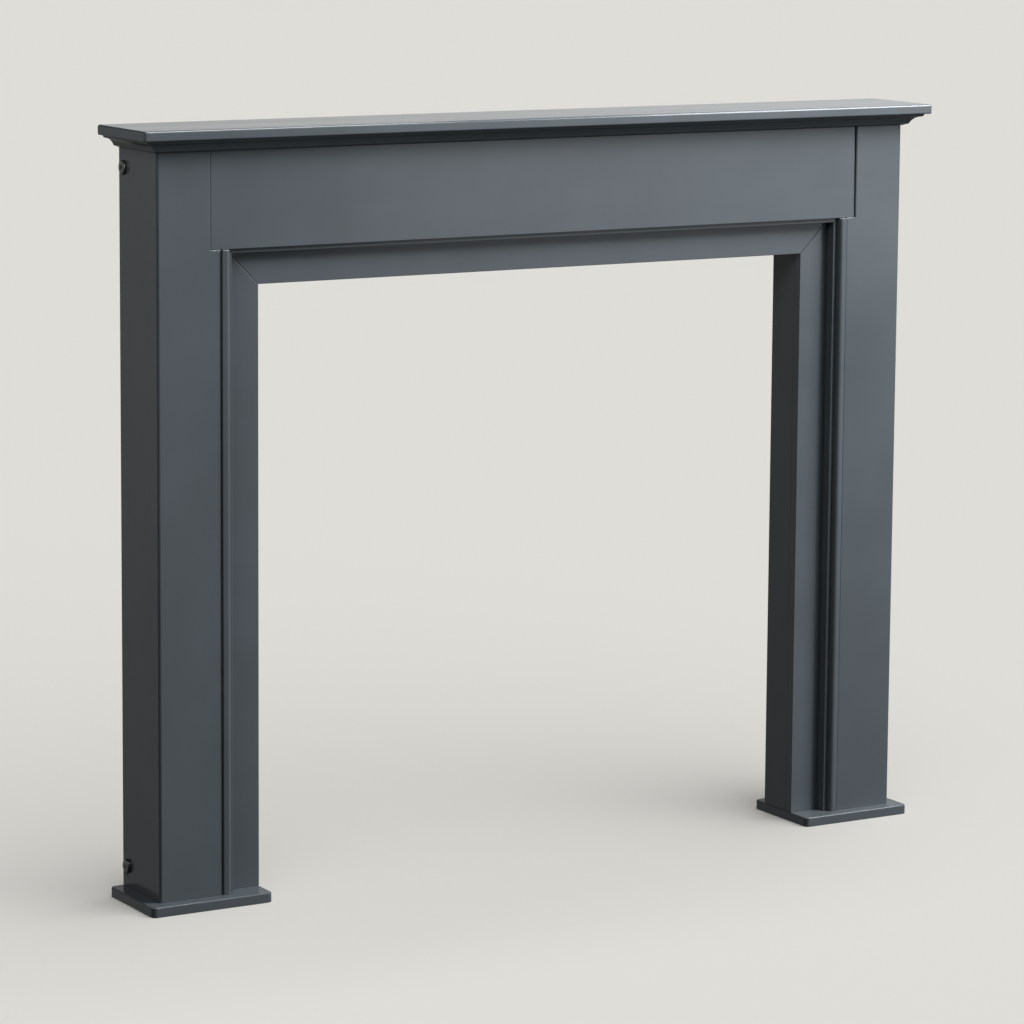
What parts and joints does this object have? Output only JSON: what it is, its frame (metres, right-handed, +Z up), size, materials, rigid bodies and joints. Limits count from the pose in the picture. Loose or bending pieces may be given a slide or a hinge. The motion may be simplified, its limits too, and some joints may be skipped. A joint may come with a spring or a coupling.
{
  "type": "fireplace mantelpiece",
  "caption": "Painted wooden fireplace surround: moulded shelf over a frieze board and two boxed legs on plinth plates, with beaded inner mouldings around an open fireplace.",
  "frame": {"origin": "on the floor under the middle of the shelf; the wall plane behind the piece is at y = +0.080", "axes": "+X to the right along the shelf as seen from the room, +Y back towards the wall, +Z up"},
  "size_m": [1.37, 0.16, 1.145],
  "materials": {
    "satin_paint": "satin dark blue-grey paint on smooth board",
    "screw_metal": "dark satin steel"
  },
  "bodies": {
    "root": {"shelf": "satin_paint", "cornice_front": "satin_paint", "cornice_left": "satin_paint", "cornice_right": "satin_paint", "frieze_board": "satin_paint", "header_slip": "satin_paint", "header_inner_strip": "satin_paint", "head_lining": "satin_paint", "left_plinth_plate": "satin_paint", "left_front_board": "satin_paint", "left_side_board": "satin_paint", "left_reveal_board": "satin_paint", "left_slip": "satin_paint", "left_inner_strip": "satin_paint", "left_bead": "satin_paint", "left_lower_screw": "screw_metal", "left_upper_screw": "screw_metal", "right_plinth_plate": "satin_paint", "right_front_board": "satin_paint", "right_side_board": "satin_paint", "right_reveal_board": "satin_paint", "right_slip": "satin_paint", "right_inner_strip": "satin_paint", "right_bead": "satin_paint", "right_lower_screw": "screw_metal", "right_upper_screw": "screw_metal"}
  },
  "joints": []
}
